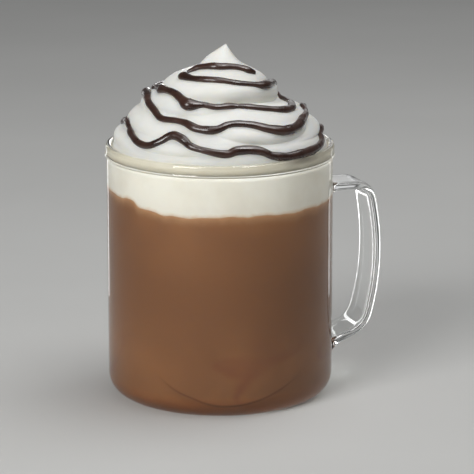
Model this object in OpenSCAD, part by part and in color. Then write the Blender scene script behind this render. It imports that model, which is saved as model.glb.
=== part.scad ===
// Hot chocolate in a glass mug: a straight clear mug with a flat strap handle,
// filled with hot chocolate, a layer of milk foam and a piped swirl of whipped
// cream that stands well above the lip. Millimetres, +Z up, origin at the middle
// of the mug's base, handle towards +X.

/* [Glass mug] */
// Outside diameter of the straight wall
mug_d = 86; // [74:1:104]
// Height from the base to the top of the lip
mug_h = 97.3; // [80:0.1:120]
// Thickness of the wall
wall_t = 2.2; // [1.8:0.1:3]
// Thickness of the base
base_t = 3; // [2:0.1:6]
// Outer radius of the rounded edge round the base
base_edge_r = 7.8; // [5:0.1:12]
// Height of the thicker band round the lip
lip_band_h = 4.7; // [3:0.1:8]
// How far the lip band stands out from the wall
lip_band_out = 0.4; // [0.2:0.1:1]

/* [Handle] */
// Reach of the strap beyond the wall
handle_reach = 20.6; // [17:0.1:30]
// Width of the strap
strap_w = 17.2; // [12:0.1:22]
// Thickness of the strap
strap_t = 3; // [2.4:0.1:4.5]
// Radius of the strap's rounded edges
strap_edge_r = 1.2; // [0.6:0.1:1.2]
// Distance from the lip down to the top of the upper arm
handle_drop = 18; // [12:0.5:24]
// Height above the base at which the lower arm meets the wall
handle_root_z = 15.2; // [11:0.1:22]
// Radius of the long bow of the strap's back
bow_r = 95; // [70:1:160]
// Height of the bow's widest point above the middle of the handle
bow_lift = 5.7; // [0:0.1:9]
// Radius of the upper bend
top_bend_r = 6.5; // [4:0.1:9]
// Radius of the lower bend
low_bend_r = 11; // [7:0.1:14]
// Slope of the lower arm, in degrees
low_arm_slope = 26; // [10:1:32]

/* [Drink and foam] */
// Distance from the lip down to the top of the drink
drink_drop = 20.1; // [16:0.1:40]
// Height of the gentle waves where the drink meets the foam
wave_h = 0.5; // [0:0.1:1.5]
// How much higher the drink has stayed on one side of the mug
border_rise = 3.7; // [0:0.1:6]
// Distance from the lip down to the top of the foam
foam_drop = 4.7; // [3.5:0.1:8]
// Clearance between the glass and what fills it
fill_gap = 0.05; // [0.02:0.01:0.2]

/* [Whipped cream] */
// Height of the swirl above the lip, without its tip
dome_h = 30; // [18:0.5:45]
// Height of the pointed tip
tip_h = 7.5; // [3:0.5:14]
// Spread of the tip's foot
tip_spread = 6; // [3:0.1:9]
// How far the tip leans over
tip_lean = 2.3; // [0:0.1:5]
// How far the upper turns sit out of the middle
upper_shift = 2.1; // [0:0.1:3]
// Gap between the glass and the cream where it comes out of the mug
lip_gap = 0.35; // [0.1:0.05:1.5]
// Turns of the piped rope
rope_turns = 4.4; // [3:0.1:6]
// Depth of the groove between two turns
groove_depth = 1.3; // [0.5:0.1:2.5]
// Depth of the deepest crease on the calm side
crease_depth = 2.9; // [0.5:0.1:3.5]

/* [Hidden] */
$fn = 96;

// Mug
mug_r = mug_d / 2;
inner_r = mug_r - wall_t;
inner_edge_r = base_edge_r - wall_t;
lip_r = (wall_t + lip_band_out) / 2;
lip_z = mug_h - lip_r;

// Handle, in the upright plane through the mug's axis
strap_mid = strap_t / 2;
edge_steps = 3;
upper_z = mug_h - handle_drop - strap_mid;
bow_centre = [mug_r + handle_reach - strap_mid - bow_r, (upper_z + handle_root_z) / 2 + bow_lift];
top_rise = upper_z - top_bend_r - bow_centre[1];
top_bend = [bow_centre[0] + sqrt((bow_r - top_bend_r) ^ 2 - top_rise ^ 2), upper_z - top_bend_r];
arm_way = [cos(low_arm_slope), sin(low_arm_slope)];
arm_up = [-sin(low_arm_slope), cos(low_arm_slope)];
root = [mug_r, handle_root_z];
to_line = root + low_bend_r * arm_up - bow_centre;
arm_run = -to_line * arm_way
    + sqrt((to_line * arm_way) ^ 2 - to_line * to_line + (bow_r - low_bend_r) ^ 2);
low_bend = root + low_bend_r * arm_up + arm_run * arm_way;
top_angle = asin(top_rise / (bow_r - top_bend_r));
low_angle = atan2(low_bend[1] - bow_centre[1], low_bend[0] - bow_centre[0]);

// Contents
around = 72;
fill_r = inner_r - fill_gap;
fill_edge_r = inner_edge_r - fill_gap;
drink_z = mug_h - drink_drop;
foam_z = mug_h - foam_drop;
eye_r = 0.4;
corner_steps = 4;
surface_steps = 3;
dome_steps = 44;
dome_power = 1.54;
tip_power = 1.25;
ring_bias = 1.25;
fold_skew = 0.68;
dome_r = inner_r - lip_gap;
smear_drop = 1.6;

// Sides of the mug where the border stands higher: from, to, share of the rise, softness of the ends
shelves = [[85, 202, 0.7, 1.2], [75, 217.5, 0.3, 1], [322, 375, 0.24, 6]];

// The swirl's calm side, where the turns have run together, and how far its grooves are filled
calm_side = [185, 315];
calm_soft = 7;
calm = 0.9;

// Directions in which the tip leans, the upper turns are shifted and the rope falls fastest
lean_way = 340;
shift_way = 160;
front_way = 340;

// The rope in turns: where it starts, how much faster it falls in front, and its wander
rope_start = 0.376;
front_fall = 0.07;
rope_wander = 0.025;

// Level and spread of the shift, as shares of the dome's height
shift_level = 0.63;
shift_spread = 0.17;

// Small forms in millimetres: unevenness, cream over the lip on one side, and the rounded back of the tip
uneven_out = 0.3;
overflow_out = 0.9;
overflow_top = 0.22;
hood_out = 0.9;
hood_r = 4.5;
hood_w = 2.4;

// Creases left in the calm side: from, to, height at the start, middle and end as a share of the
// dome's, and share of the crease depth
creases = [[228, 356, 0.71, 0.667, 0.603, 1], [200, 268, 0.553, 0.54, 0.62, 0.45],
    [258, 332, 0.267, 0.207, 0.387, 0.55], [196, 256, 0.107, 0.073, 0.127, 0.38]];
crease_soft = 5;
crease_under = 1.7;
crease_over = 0.8;
swell_out = 0.3;
swell_up = 2.8;
swell_h = 2;

// Stops along a bend of the strap: each has its place and its outward direction
function bend_stops(centre, radius, from, to, steps) = [for (i = [1:steps])
    let (a = from + (to - from) * i / steps) [centre + radius * [cos(a), sin(a)], a]];

// Section of the strap across a stop: flat faces and round edges
strap_section = [for (corner = [[1, -1, -90], [1, 1, 0], [-1, 1, 90], [-1, -1, 180]], i = [0:edge_steps])
    let (turn = corner[2] + 90 * i / edge_steps)
    [corner[0] * (strap_mid - strap_edge_r) + strap_edge_r * cos(turn),
        corner[1] * (strap_w / 2 - strap_edge_r) + strap_edge_r * sin(turn)]];
function strap_ring(place, out) = [for (p = strap_section)
    [place[0] + p[0] * cos(out), p[1], place[1] + p[0] * sin(out)]];

// The strap's middle line from the lower root round to the upper one
low_out = low_arm_slope - 90;
strap_path = concat(
    [[root - wall_t * arm_way, low_out], [root + arm_run * arm_way, low_out]],
    bend_stops(low_bend, low_bend_r, low_out, low_angle, 6),
    bend_stops(bow_centre, bow_r, low_angle, top_angle, 12),
    bend_stops(top_bend, top_bend_r, top_angle, 90, 8),
    [[[mug_r - wall_t, upper_z], 90]]);

// 1 in the directions from one angle to another and 0 elsewhere, with soft ends
function inside(a, from, to, soft) = let (away = (a - (from + to) / 2 + 900) % 360 - 180)
    1 / (1 + exp((abs(away) - (to - from) / 2) / soft));

function total(list) = list * [for (item = list) 1];

// Height of the border between drink and foam, in the direction a
function border(a) = wave_h * (0.5 * sin(3 * a + 20) + 0.3 * sin(7 * a + 75) + 0.2 * sin(11 * a))
    + border_rise * total([for (shelf = shelves) shelf[2] * inside(a, shelf[0], shelf[1], shelf[3])]);

// A ring of points; r and z may follow the direction
function flat_ring(r, z) = [for (i = [0:around - 1]) let (a = 360 * i / around) [r * cos(a), r * sin(a), z]];
function wavy_ring(r, z) = [for (i = [0:around - 1]) let (a = 360 * i / around)
    [r * cos(a), r * sin(a), z + border(a) * (r - eye_r) / (fill_r - eye_r)]];

// Turns of rope below a point, where each whole number is a groove, and how far the rope bulges
// there: 0 in the groove, 1 on its crown
function turn_phase(h, a) = rope_turns * h + a / 360 + rope_start + front_fall * cos(a - front_way)
    + rope_wander * sin(3 * a + 220 * h);
function bulge(h, a) = let (u = turn_phase(h, a)) sin(180 * pow(u - floor(u), fold_skew));

// How far one crease pulls the surface in: a little sharper above it than below, with a soft swell over it
function crease_dent(crease, h, a) = let (
        along = ((a - crease[0] + 450) % 360 - 90) / (crease[1] - crease[0]),
        bow = crease[3] - (crease[2] + crease[4]) / 2,
        height = crease[2] + (crease[4] - crease[2]) * along + 4 * bow * along * (1 - along),
        off = dome_h * (h - height),
        profile = off < 0 ? exp(off / crease_under) : exp(-off / crease_over),
        swell = swell_out * exp(-pow((off - swell_up) / swell_h, 2))
    ) -crease_depth * crease[5] * (profile - swell) * inside(a, crease[0], crease[1], crease_soft);

// Dent of the surface in millimetres: grooves, creases, a slight unevenness and, low on one side,
// the cream bulging out over the lip
function grooves(h, a) = groove_depth * (bulge(h, a) - 1)
    * (1 - calm * inside(a, calm_side[0], calm_side[1], calm_soft));
function uneven(h, a) = uneven_out * sin(2 * a + 286 * h) * sin(3 * a + 516 * h);
function overflow(h, a) = overflow_out * sin(180 * min(1, h / overflow_top)) * (1 + cos(a - shift_way)) / 2;
function dent(s, h, a) = (grooves(h, a) + total([for (crease = creases) crease_dent(crease, h, a)])
    + uneven(h, a)) * min(1, 5 * (1 - s)) * min(1, 0.25 + 9 * h) + overflow(h, a);

// A point on the swirl at ring parameter s (0 at the lip, 1 at the tip) and direction a
function swirl(s, a) = let (
        climb = 90 * (1 - pow(1 - s, ring_bias)),
        h = pow(sin(climb), dome_power),
        pull = dent(s, h, a),
        shift = upper_shift * exp(-pow((h - shift_level) / shift_spread, 2)),
        r = dome_r * cos(climb) - shift,
        tip = exp(-pow(max(r, 0) / tip_spread, tip_power)),
        hood = hood_out * exp(-pow((r - hood_r) / hood_w, 2)) * max(0, cos(a - shift_way)),
        out = max(eye_r, r + pull * cos(climb) + hood)
    ) [out * cos(a) + shift * cos(shift_way) + tip_lean * tip * cos(lean_way),
        out * sin(a) + shift * sin(shift_way) + tip_lean * tip * sin(lean_way),
        mug_h + dome_h * h + pull * sin(climb) + tip_h * tip];
function swirl_ring(s) = [for (i = [0:around - 1]) swirl(s, 360 * i / around)];

// Closed skin over a stack of rings, lowest first
module skin(rings) {
    n = len(rings[0]);
    last = (len(rings) - 1) * n;
    points = [for (ring = rings, p = ring) p];
    sides = [for (base = [0:n:last - n], j = [0:n - 1], half = [0, 1]) let (k = (j + 1) % n)
        half == 0 ? [base + j, base + n + j, base + n + k] : [base + j, base + n + k, base + k]];
    floor_face = [for (j = [0:n - 1]) j];
    roof_face = [for (j = [n - 1:-1:0]) last + j];
    polyhedron(points, concat([floor_face], sides, [roof_face]), convexity = 8);
}

module mug_outside() {
    square([mug_r - base_edge_r, lip_z]);
    translate([0, base_edge_r]) square([mug_r, lip_z - base_edge_r]);
    translate([mug_r - base_edge_r, base_edge_r]) circle(base_edge_r);
    polygon([[inner_r, mug_h - lip_band_h], [mug_r, mug_h - lip_band_h],
        [mug_r + lip_band_out, mug_h - lip_band_h + lip_band_out],
        [mug_r + lip_band_out, lip_z], [inner_r, lip_z]]);
    translate([mug_r + lip_band_out - lip_r, lip_z]) circle(lip_r);
}

module mug_inside() {
    translate([0, base_t]) square([inner_r - inner_edge_r, mug_h]);
    translate([0, base_t + inner_edge_r]) square([inner_r, mug_h]);
    translate([inner_r - inner_edge_r, base_t + inner_edge_r]) circle(inner_edge_r);
}

module strap_handle() {
    difference() {
        skin([for (stop = strap_path) strap_ring(stop[0], stop[1])]);
        cylinder(r = mug_r - wall_t / 2, h = mug_h);
    }
}

module glass_mug() {
    color("lightcyan", 0.4) {
        rotate_extrude() difference() {
            mug_outside();
            mug_inside();
        }
        strap_handle();
    }
}

module hot_chocolate() {
    corner = [for (i = [0:corner_steps]) let (a = 90 * i / corner_steps)
        flat_ring(fill_r - fill_edge_r * (1 - sin(a)), base_t + fill_gap + fill_edge_r * (1 - cos(a)))];
    surface = [for (i = [surface_steps:-1:0])
        wavy_ring(eye_r + (fill_r - eye_r) * i / surface_steps, drink_z)];
    color([0.50, 0.36, 0.27]) skin(concat(corner, surface));
}

module milk_foam() {
    surface = [for (i = [0:surface_steps])
        wavy_ring(eye_r + (fill_r - eye_r) * i / surface_steps, drink_z + fill_gap)];
    color([0.90, 0.88, 0.83]) skin(concat(surface, [flat_ring(fill_r, foam_z)]));
}

module whipped_cream() {
    dome = [for (i = [0:dome_steps]) swirl_ring(i / dome_steps)];
    color([0.95, 0.95, 0.92]) skin(concat(
        [flat_ring(fill_r, foam_z + fill_gap), flat_ring(fill_r, mug_h - smear_drop)], dome));
}

glass_mug();
hot_chocolate();
milk_foam();
whipped_cream();
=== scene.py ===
import math

import bmesh
import bpy
import numpy as np
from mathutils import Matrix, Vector


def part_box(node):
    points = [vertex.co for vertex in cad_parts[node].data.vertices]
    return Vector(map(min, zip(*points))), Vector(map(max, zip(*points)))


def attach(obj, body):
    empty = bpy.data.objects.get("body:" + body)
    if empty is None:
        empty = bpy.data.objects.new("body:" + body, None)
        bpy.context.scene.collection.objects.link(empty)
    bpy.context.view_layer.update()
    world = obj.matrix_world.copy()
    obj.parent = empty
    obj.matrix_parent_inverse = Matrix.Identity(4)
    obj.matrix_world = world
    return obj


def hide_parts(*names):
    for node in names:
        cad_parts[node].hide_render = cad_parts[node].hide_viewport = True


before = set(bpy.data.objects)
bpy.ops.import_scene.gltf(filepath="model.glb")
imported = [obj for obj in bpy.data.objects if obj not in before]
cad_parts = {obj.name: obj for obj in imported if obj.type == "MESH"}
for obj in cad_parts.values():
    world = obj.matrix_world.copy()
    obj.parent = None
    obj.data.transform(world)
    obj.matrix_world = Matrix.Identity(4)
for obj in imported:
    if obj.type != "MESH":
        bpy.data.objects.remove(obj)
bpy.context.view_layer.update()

# ---------------------------------------------------------------------------------------------
# GLASS MUG
# A straight mug blown in clear heat-proof glass, with a thin wall, a softly rounded base and a
# slightly thicker fire-polished lip. The flat strap handle is drawn hot and fused to the wall at
# both ends, so the roots melt into it with a small fillet.
# ---------------------------------------------------------------------------------------------
MM = 0.001
mug_low, mug_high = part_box("glass_mug")
LIP_BAND_OUT = 0.4 * MM
LIP_BAND_H = 4.7 * MM
LIP_BEAD_OUT = 0.3 * MM
WALL_T = 2.2 * MM
BASE_T = 3.0 * MM
BASE_EDGE_R = 7.8 * MM
mug_r = -mug_low.x - LIP_BAND_OUT
mug_h = mug_high.z
inner_r = mug_r - WALL_T
inner_edge_r = BASE_EDGE_R - WALL_T
lip_r = (WALL_T + LIP_BAND_OUT) / 2
lip_z = mug_h - lip_r

STRAP_W = 17.2 * MM
STRAP_T = 3.0 * MM
HANDLE_DROP = 18.0 * MM
HANDLE_ROOT_Z = 15.2 * MM
BOW_R = 95.0 * MM
BOW_LIFT = 5.7 * MM
TOP_BEND_R = 6.5 * MM
LOW_BEND_R = 11.0 * MM
LOW_ARM_SLOPE = math.radians(26)
ROOT_FILLET = 1.3 * MM
EDGE_ROUNDING = 0.74
EDGE_REACH = 1.02
SUBDIVISIONS = 2
REAR_COLUMNS = 28
# The mesh's rings and rows, in millimetres: out under the base, up outside between the strap's roots,
# over them, down inside, and in over the base; and the rows of the lip band's bead, from its lower edge
RINGS_UNDER_BASE = (12, 24, 32)
LOWEST_ROW = 9.6
ROWS_BETWEEN_ROOTS = (20.5, 27, 36, 46, 56, 65, 72)
ROWS_OVER_ROOTS = (83.5, 88.5)
ROWS_INSIDE = (92, 84, 74, 62, 50, 38, 26, 16, LOWEST_ROW)
RINGS_OVER_BASE = (34, 28, 19, 10)
BEAD_ROWS = (-0.1, 0.15, 0.6, 1.1)
# Rows this close to a bend keep it crisp when the mesh is subdivided
HOLD = 0.6 * MM
UNDER_BAND = 0.5 * MM
# Columns between the strap's middle and its edge
STRAP_COLUMNS = (3.6 * MM, 7.2 * MM)


def arc(centre, radius, start, end, steps, first=0):
    """Points of an arc in a plane, angles in degrees."""
    turns = [math.radians(start + (end - start) * i / steps) for i in range(first, steps + 1)]
    return [(centre[0] + radius * math.cos(t), centre[1] + radius * math.sin(t)) for t in turns]


def new_piece(name, verts, faces):
    """A smooth mesh object at the origin, with its faces turned outwards."""
    mesh = bpy.data.meshes.new(name)
    mesh.from_pydata([tuple(v) for v in verts], [], faces)
    shape = bmesh.new()
    shape.from_mesh(mesh)
    bmesh.ops.remove_doubles(shape, verts=shape.verts, dist=1e-7)
    bmesh.ops.recalc_face_normals(shape, faces=shape.faces)
    shape.to_mesh(mesh)
    shape.free()
    mesh.polygons.foreach_set("use_smooth", [True] * len(mesh.polygons))
    piece = bpy.data.objects.new(name, mesh)
    bpy.context.scene.collection.objects.link(piece)
    return piece


def subdivide(piece, levels):
    """Adds a subdivision surface and bakes it into the mesh."""
    modifier = piece.modifiers.new("smooth", "SUBSURF")
    modifier.levels = modifier.render_levels = levels
    bake_modifiers(piece)


def bake_modifiers(piece):
    """Puts the evaluated mesh in place of the piece's own and drops its modifiers."""
    view = bpy.context.evaluated_depsgraph_get()
    mesh = bpy.data.meshes.new_from_object(piece.evaluated_get(view))
    piece.modifiers.clear()
    piece.data = mesh
    mesh.polygons.foreach_set("use_smooth", [True] * len(mesh.polygons))


# The wall's profile, out under the base, up outside, over the lip, down inside and in over the base
lip_band_z = mug_h - LIP_BAND_H
root_half = STRAP_T / 2 / math.cos(LOW_ARM_SLOPE) + ROOT_FILLET
top_root_z = mug_h - HANDLE_DROP - STRAP_T / 2
root_rows = {
    "low": [HANDLE_ROOT_Z - root_half, HANDLE_ROOT_Z, HANDLE_ROOT_Z + root_half],
    "top": [top_root_z - STRAP_T / 2 - ROOT_FILLET, top_root_z, top_root_z + STRAP_T / 2 + ROOT_FILLET],
}
outer_rows = [LOWEST_ROW * MM] + root_rows["low"] + [z * MM for z in ROWS_BETWEEN_ROOTS]
outer_rows += root_rows["top"] + [z * MM for z in ROWS_OVER_ROOTS] + [lip_band_z - UNDER_BAND]
profile = [(r * MM, 0.0) for r in RINGS_UNDER_BASE]
profile += [(mug_r - BASE_EDGE_R - HOLD, 0.0)]
profile += arc((mug_r - BASE_EDGE_R, BASE_EDGE_R), BASE_EDGE_R, -90, 0, 6)
profile += [(mug_r, z) for z in outer_rows]
band_r = mug_r + LIP_BAND_OUT
bead_r = band_r + LIP_BEAD_OUT
profile += [(r, lip_band_z + z * MM) for r, z in zip((mug_r, bead_r, bead_r, band_r), BEAD_ROWS)]
profile += [(band_r, lip_z - HOLD)]
profile += arc((band_r - lip_r, lip_z), lip_r, 0, 180, 6)
profile += [(inner_r, lip_z - HOLD)]
profile += [(inner_r, z * MM) for z in ROWS_INSIDE]
profile += arc((inner_r - inner_edge_r, BASE_T + inner_edge_r), inner_edge_r, 0, -90, 5)
profile += [(r * MM, BASE_T) for r in RINGS_OVER_BASE]

# Columns round the mug: close together where the strap meets the wall, even elsewhere
strap_half = STRAP_W / 2
root_ys = [0.0, *STRAP_COLUMNS, strap_half + ROOT_FILLET]
root_columns = [math.asin(y / mug_r) for y in root_ys]
rear = math.pi - root_columns[-1]
even_columns = [root_columns[-1] + rear * i / REAR_COLUMNS for i in range(1, REAR_COLUMNS)]
half_turn = root_columns + even_columns
columns = half_turn + [math.pi] + [-a for a in reversed(half_turn[1:])]
# Subdividing draws a ring in a little, so every ring starts this much wider
reach_out = 1 / (2 / 3 + math.cos(rear / REAR_COLUMNS) / 3)

verts, faces = [], []
for r, z in profile:
    verts += [(r * reach_out * math.cos(a), r * reach_out * math.sin(a), z) for a in columns]
count = len(columns)
row_of_z = {round(z, 7): i for i, (r, z) in enumerate(profile) if abs(r - mug_r) < 1e-9}
side = len(root_columns) - 1
holes = {name: [row_of_z[round(z, 7)] for z in rows] for name, rows in root_rows.items()}
open_cells = {(row, column % count) for rows in holes.values() for row in rows[:2]
              for column in range(-side, side)}
for i in range(len(profile) - 1):
    for j in range(count):
        if (i, j) not in open_cells:
            k = (j + 1) % count
            faces.append((i * count + j, i * count + k, (i + 1) * count + k, (i + 1) * count + j))
for row, z in ((0, 0.0), (len(profile) - 1, BASE_T)):
    verts.append((0.0, 0.0, z))
    faces += [(len(verts) - 1, row * count + j, row * count + (j + 1) % count) for j in range(count)]


def root_loop(near, middle, far):
    """Vertices round a root's opening: along the near row, up, back along the far row, and down."""
    across = list(range(-side, side + 1))
    loop = [near * count + j % count for j in across] + [middle * count + side]
    loop += [far * count + j % count for j in reversed(across)] + [middle * count + (-side) % count]
    return loop


# The strap's middle line: two arms, two bends and a long bow, each tangent to the next
bow_centre = np.array([mug_high.x - STRAP_T / 2 - BOW_R, (top_root_z + HANDLE_ROOT_Z) / 2 + BOW_LIFT])
top_rise = top_root_z - TOP_BEND_R - bow_centre[1]
top_bend = (bow_centre[0] + math.sqrt((BOW_R - TOP_BEND_R) ** 2 - top_rise ** 2), top_root_z - TOP_BEND_R)
arm_way = np.array([math.cos(LOW_ARM_SLOPE), math.sin(LOW_ARM_SLOPE)])
arm_up = np.array([-arm_way[1], arm_way[0]])
low_root = np.array([mug_r, HANDLE_ROOT_Z])
to_line = low_root + LOW_BEND_R * arm_up - bow_centre
arm_run = -to_line @ arm_way + math.sqrt((to_line @ arm_way) ** 2 - to_line @ to_line
                                         + (BOW_R - LOW_BEND_R) ** 2)
low_bend = low_root + LOW_BEND_R * arm_up + arm_run * arm_way
top_turn = math.degrees(math.asin(top_rise / (BOW_R - TOP_BEND_R)))
low_turn = math.degrees(math.atan2(low_bend[1] - bow_centre[1], low_bend[0] - bow_centre[0]))
low_out = math.degrees(LOW_ARM_SLOPE) - 90


def bend_stops(centre, radius, start, end, steps):
    """Places along a bend of the strap with the outward direction at each, in degrees."""
    turns = [start + (end - start) * i / steps for i in range(1, steps + 1)]
    return list(zip(arc(centre, radius, start, end, steps, first=1), turns))


ROOT_STEPS = (0.9 * MM, 2.6 * MM, 5.0 * MM)
ROOT_SWELL = (0.55 * MM, 0.12 * MM, 0.0)
strap_stops = [((mug_r + step, top_root_z), 90, swell, True)
               for step, swell in zip(ROOT_STEPS, ROOT_SWELL)]
strap_stops += [((top_bend[0], top_root_z), 90, 0, False)]
strap_stops += [(p, t, 0, False) for p, t in bend_stops(top_bend, TOP_BEND_R, 90, top_turn, 7)]
strap_stops += [(p, t, 0, False) for p, t in bend_stops(bow_centre, BOW_R, top_turn, low_turn, 8)]
strap_stops += [(p, t, 0, False) for p, t in bend_stops(low_bend, LOW_BEND_R, low_turn, low_out, 6)]
for step, swell in zip(reversed(ROOT_STEPS), reversed(ROOT_SWELL)):
    strap_stops.append((tuple(low_root + arm_way * step), low_out, swell, True))

half_strap = [*STRAP_COLUMNS, strap_half]
strap_ys = [-y for y in reversed(half_strap)] + [0.0] + half_strap
edge_depth = EDGE_ROUNDING * STRAP_T / 2
depths = [edge_depth] + [STRAP_T / 2] * (len(strap_ys) - 2) + [edge_depth]
section = [(-depth, y) for depth, y in zip(depths, strap_ys)] + [(0.0, EDGE_REACH * strap_half)]
section += [(depth, y) for depth, y in zip(depths, reversed(strap_ys))]
section += [(0.0, -EDGE_REACH * strap_half)]
loops = [root_loop(*holes["top"])]
for (x, z), out, swell, hugs in strap_stops:
    loops.append(list(range(len(verts), len(verts) + len(section))))
    for depth, y in section:
        grown = depth + math.copysign(swell, depth) if depth else 0.0
        wide = y + math.copysign(swell, y) if abs(y) >= strap_half else y
        curve_in = (mug_r - math.sqrt(mug_r ** 2 - y ** 2)) if hugs else 0.0
        verts.append((x - curve_in + grown * math.cos(math.radians(out)), wide,
                      z + grown * math.sin(math.radians(out))))
loops.append(root_loop(*reversed(holes["low"])))
for one, two in zip(loops, loops[1:]):
    sides = len(one)
    faces += [(one[i], one[(i + 1) % sides], two[(i + 1) % sides], two[i]) for i in range(sides)]
used = sorted({v for face in faces for v in face})
renumber = {v: i for i, v in enumerate(used)}
mug = new_piece("glass_mug_blown", [verts[v] for v in used],
                [tuple(renumber[v] for v in face) for face in faces])
subdivide(mug, SUBDIVISIONS)


def new_material(name):
    """A node material with only its Principled shader and its output."""
    material = bpy.data.materials.new(name)
    material.use_nodes = True
    nodes, links = material.node_tree.nodes, material.node_tree.links
    nodes.clear()
    output = nodes.new("ShaderNodeOutputMaterial")
    shader = nodes.new("ShaderNodeBsdfPrincipled")
    links.new(shader.outputs["BSDF"], output.inputs["Surface"])
    return material, nodes, links, shader


def noise(nodes, links, where, scale, detail=2.0, roughness=0.5, distortion=0.0):
    """A noise texture at a scale given in bumps per metre."""
    texture = nodes.new("ShaderNodeTexNoise")
    texture.inputs["Scale"].default_value = scale
    texture.inputs["Detail"].default_value = detail
    texture.inputs["Roughness"].default_value = roughness
    texture.inputs["Distortion"].default_value = distortion
    links.new(where, texture.inputs["Vector"])
    return texture.outputs["Fac"]


def stretch(nodes, links, value, low, high, to_low, to_high):
    """Maps a value from one range to another, clamped."""
    ranger = nodes.new("ShaderNodeMapRange")
    for name, number in (("From Min", low), ("From Max", high), ("To Min", to_low), ("To Max", to_high)):
        ranger.inputs[name].default_value = number
    links.new(value, ranger.inputs["Value"])
    return ranger.outputs["Result"]


def node_group(name, inputs, outputs):
    """An empty shader group; sockets are (name, type, value) for inputs and (name, type) for outputs."""
    group = bpy.data.node_groups.new(name, "ShaderNodeTree")
    for socket_name, kind, value in inputs:
        socket = group.interface.new_socket(socket_name, in_out="INPUT", socket_type=kind)
        if value is not None:
            socket.default_value = value
    for socket_name, kind in outputs:
        group.interface.new_socket(socket_name, in_out="OUTPUT", socket_type=kind)
    enter = group.nodes.new("NodeGroupInput")
    leave = group.nodes.new("NodeGroupOutput")
    return group, group.nodes, group.links, enter.outputs, leave.inputs


def place_group(nodes, links, group, where, values):
    """Puts a shared group into a material, fed with a position and its own values."""
    node = nodes.new("ShaderNodeGroup")
    node.node_tree = group
    links.new(where, node.inputs["Position"])
    for name, value in values.items():
        node.inputs[name].default_value = value
    return node


def arithmetic(nodes, links, operation, one, two):
    """A math node; each side is a socket or a number."""
    node = nodes.new("ShaderNodeMath")
    node.operation = operation
    for side, value in zip(node.inputs, (one, two)):
        if isinstance(value, (int, float)):
            side.default_value = value
        else:
            links.new(value, side)
    return node.outputs["Value"]


def blend_colour(nodes, links, factor, one, two):
    """Mixes two colours, each a socket or an RGBA value, by a factor socket."""
    node = nodes.new("ShaderNodeMix")
    node.data_type = "RGBA"
    links.new(factor, node.inputs["Factor"])
    for socket, value in zip([i for i in node.inputs if i.type == "RGBA"], (one, two)):
        if isinstance(value, tuple):
            socket.default_value = value
        else:
            links.new(value, socket)
    return [o for o in node.outputs if o.type == "RGBA"][0]


# Relief that every surface has some of: a broad unevenness and a fine grain, as one normal
relief, nodes, links, given, result = node_group(
    "surface_relief",
    [("Position", "NodeSocketVector", None), ("Broad Scale", "NodeSocketFloat", 60.0),
     ("Broad Height", "NodeSocketFloat", 0.0002), ("Fine Scale", "NodeSocketFloat", 1200.0),
     ("Fine Height", "NodeSocketFloat", 0.00002)],
    [("Normal", "NodeSocketVector")])
broad = nodes.new("ShaderNodeTexNoise")
fine = nodes.new("ShaderNodeTexNoise")
for texture, scale in ((broad, "Broad Scale"), (fine, "Fine Scale")):
    links.new(given["Position"], texture.inputs["Vector"])
    links.new(given[scale], texture.inputs["Scale"])
    texture.inputs["Detail"].default_value = 2.0
broad_bump = nodes.new("ShaderNodeBump")
fine_bump = nodes.new("ShaderNodeBump")
for bump, texture, height in ((broad_bump, broad, "Broad Height"), (fine_bump, fine, "Fine Height")):
    links.new(texture.outputs["Fac"], bump.inputs["Height"])
    links.new(given[height], bump.inputs["Distance"])
links.new(broad_bump.outputs["Normal"], fine_bump.inputs["Normal"])
links.new(fine_bump.outputs["Normal"], result["Normal"])

GLASS_IOR = 1.47
glass, nodes, links, shader = new_material("clear_glass")
coords = nodes.new("ShaderNodeTexCoord").outputs["Object"]
shader.inputs["Base Color"].default_value = (0.985, 0.995, 0.99, 1)
shader.inputs["Transmission Weight"].default_value = 1.0
shader.inputs["IOR"].default_value = GLASS_IOR
smears = noise(nodes, links, coords, 60, 3)
links.new(stretch(nodes, links, smears, 0.45, 0.7, 0.0, 0.035), shader.inputs["Roughness"])
ripple = place_group(nodes, links, relief, coords, {
    "Broad Scale": 22.0, "Broad Height": 0.06 * MM, "Fine Scale": 90.0, "Fine Height": 0.004 * MM})
links.new(ripple.outputs["Normal"], shader.inputs["Normal"])
clear = nodes.new("ShaderNodeBsdfTransparent")
clear.inputs["Color"].default_value = (0.93, 0.95, 0.94, 1)
light_path = nodes.new("ShaderNodeLightPath")
lets_light = nodes.new("ShaderNodeMixShader")
links.new(light_path.outputs["Is Shadow Ray"], lets_light.inputs["Fac"])
links.new(shader.outputs["BSDF"], lets_light.inputs[1])
links.new(clear.outputs["BSDF"], lets_light.inputs[2])
links.new(lets_light.outputs["Shader"], nodes["Material Output"].inputs["Surface"])
mug.data.materials.clear()
mug.data.materials.append(glass)
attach(mug, "root")
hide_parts("glass_mug")

# ---------------------------------------------------------------------------------------------
# HOT CHOCOLATE
# Cocoa stirred into hot milk: an opaque, milky brown drink with faint darker swirls low down.
# It is poured into the mug and wets the glass all the way up to its wavy border with the foam.
# ---------------------------------------------------------------------------------------------
DRINK_DROP = 20.1 * MM
INTO_WALL = 0.15 * MM
AROUND = 288
WAVE_H = 0.5 * MM
RAGGED_H = 0.45 * MM
BORDER_RISE = 3.7 * MM
# Gentle waves of the border: how many round the mug, share of the wave height, start in radians
BORDER_WAVES = ((3, 0.5, 0.35), (7, 0.3, 1.3), (11, 0.2, 0))
# Sides of the mug where the border stands higher: from, to, share of the rise, softness of the ends
BORDER_SHELVES = ((85, 202, 0.7, 1.2), (75, 217.5, 0.3, 1), (322, 375, 0.24, 6))
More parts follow.
